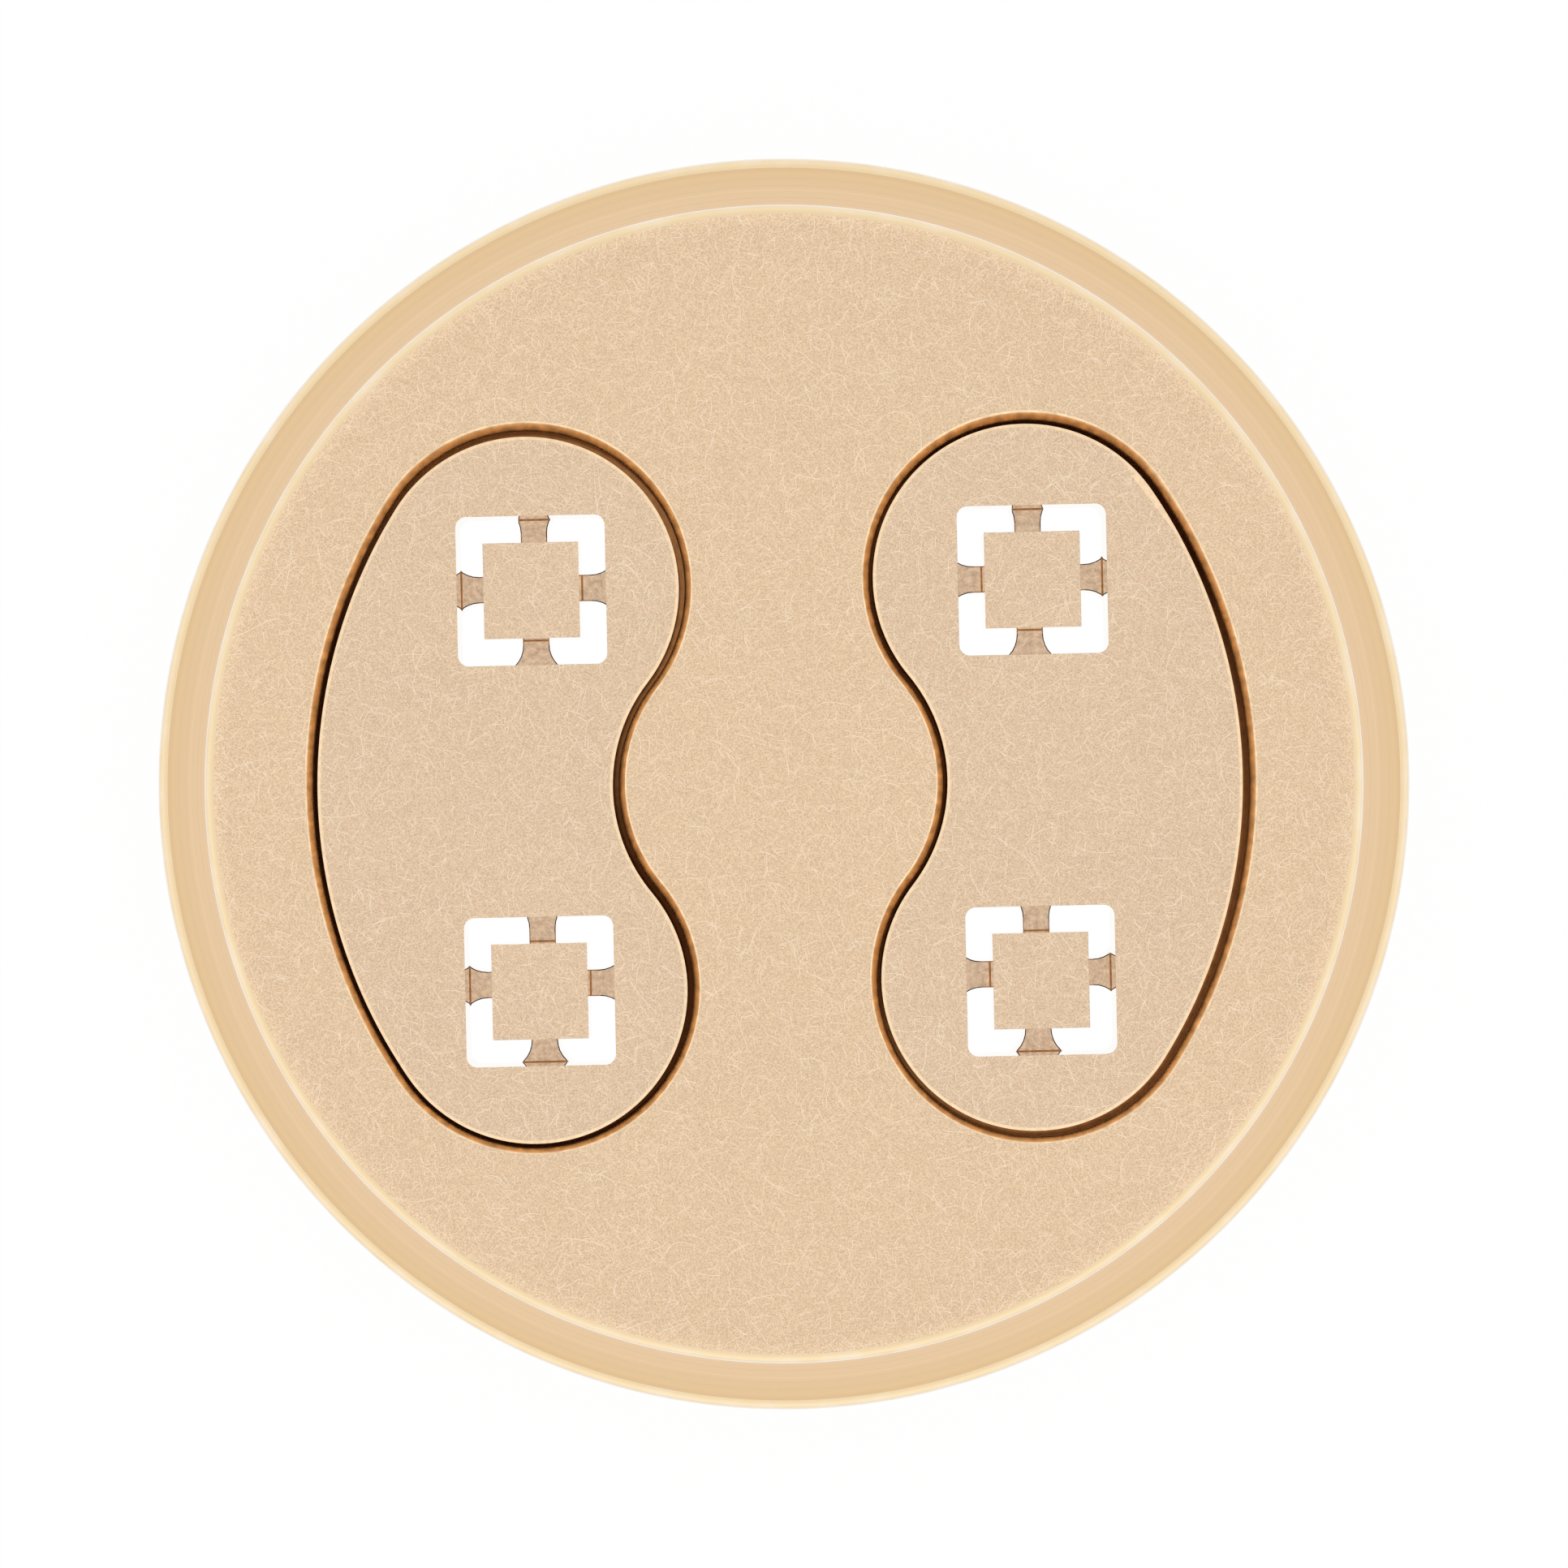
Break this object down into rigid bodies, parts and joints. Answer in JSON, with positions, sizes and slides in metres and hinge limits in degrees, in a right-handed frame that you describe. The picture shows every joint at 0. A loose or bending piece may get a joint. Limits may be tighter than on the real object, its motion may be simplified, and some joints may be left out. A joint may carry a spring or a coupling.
{
  "type": "pasta extrusion die",
  "caption": "Round bronze pasta die with a stepped rim and loose kidney-shaped inserts, whose square ring slots and bridged cores shape dough into square tubes.",
  "frame": {"origin": "centre of the rear face, where the dough enters", "axes": "+Z along the disc's axis, out of the front face where the pasta leaves; +X across the two inserts, to the right in the picture; +Y up in the picture"},
  "size_m": [0.057, 0.057, 0.015],
  "materials": {
    "body_bronze": "satin turned bronze, lapped face with fine hair scratches",
    "insert_bronze": "satin milled bronze, lapped face with fine hair scratches"
  },
  "bodies": {
    "root": {"die_body": "body_bronze", "left_insert": "insert_bronze", "right_insert": "insert_bronze"}
  },
  "joints": []
}
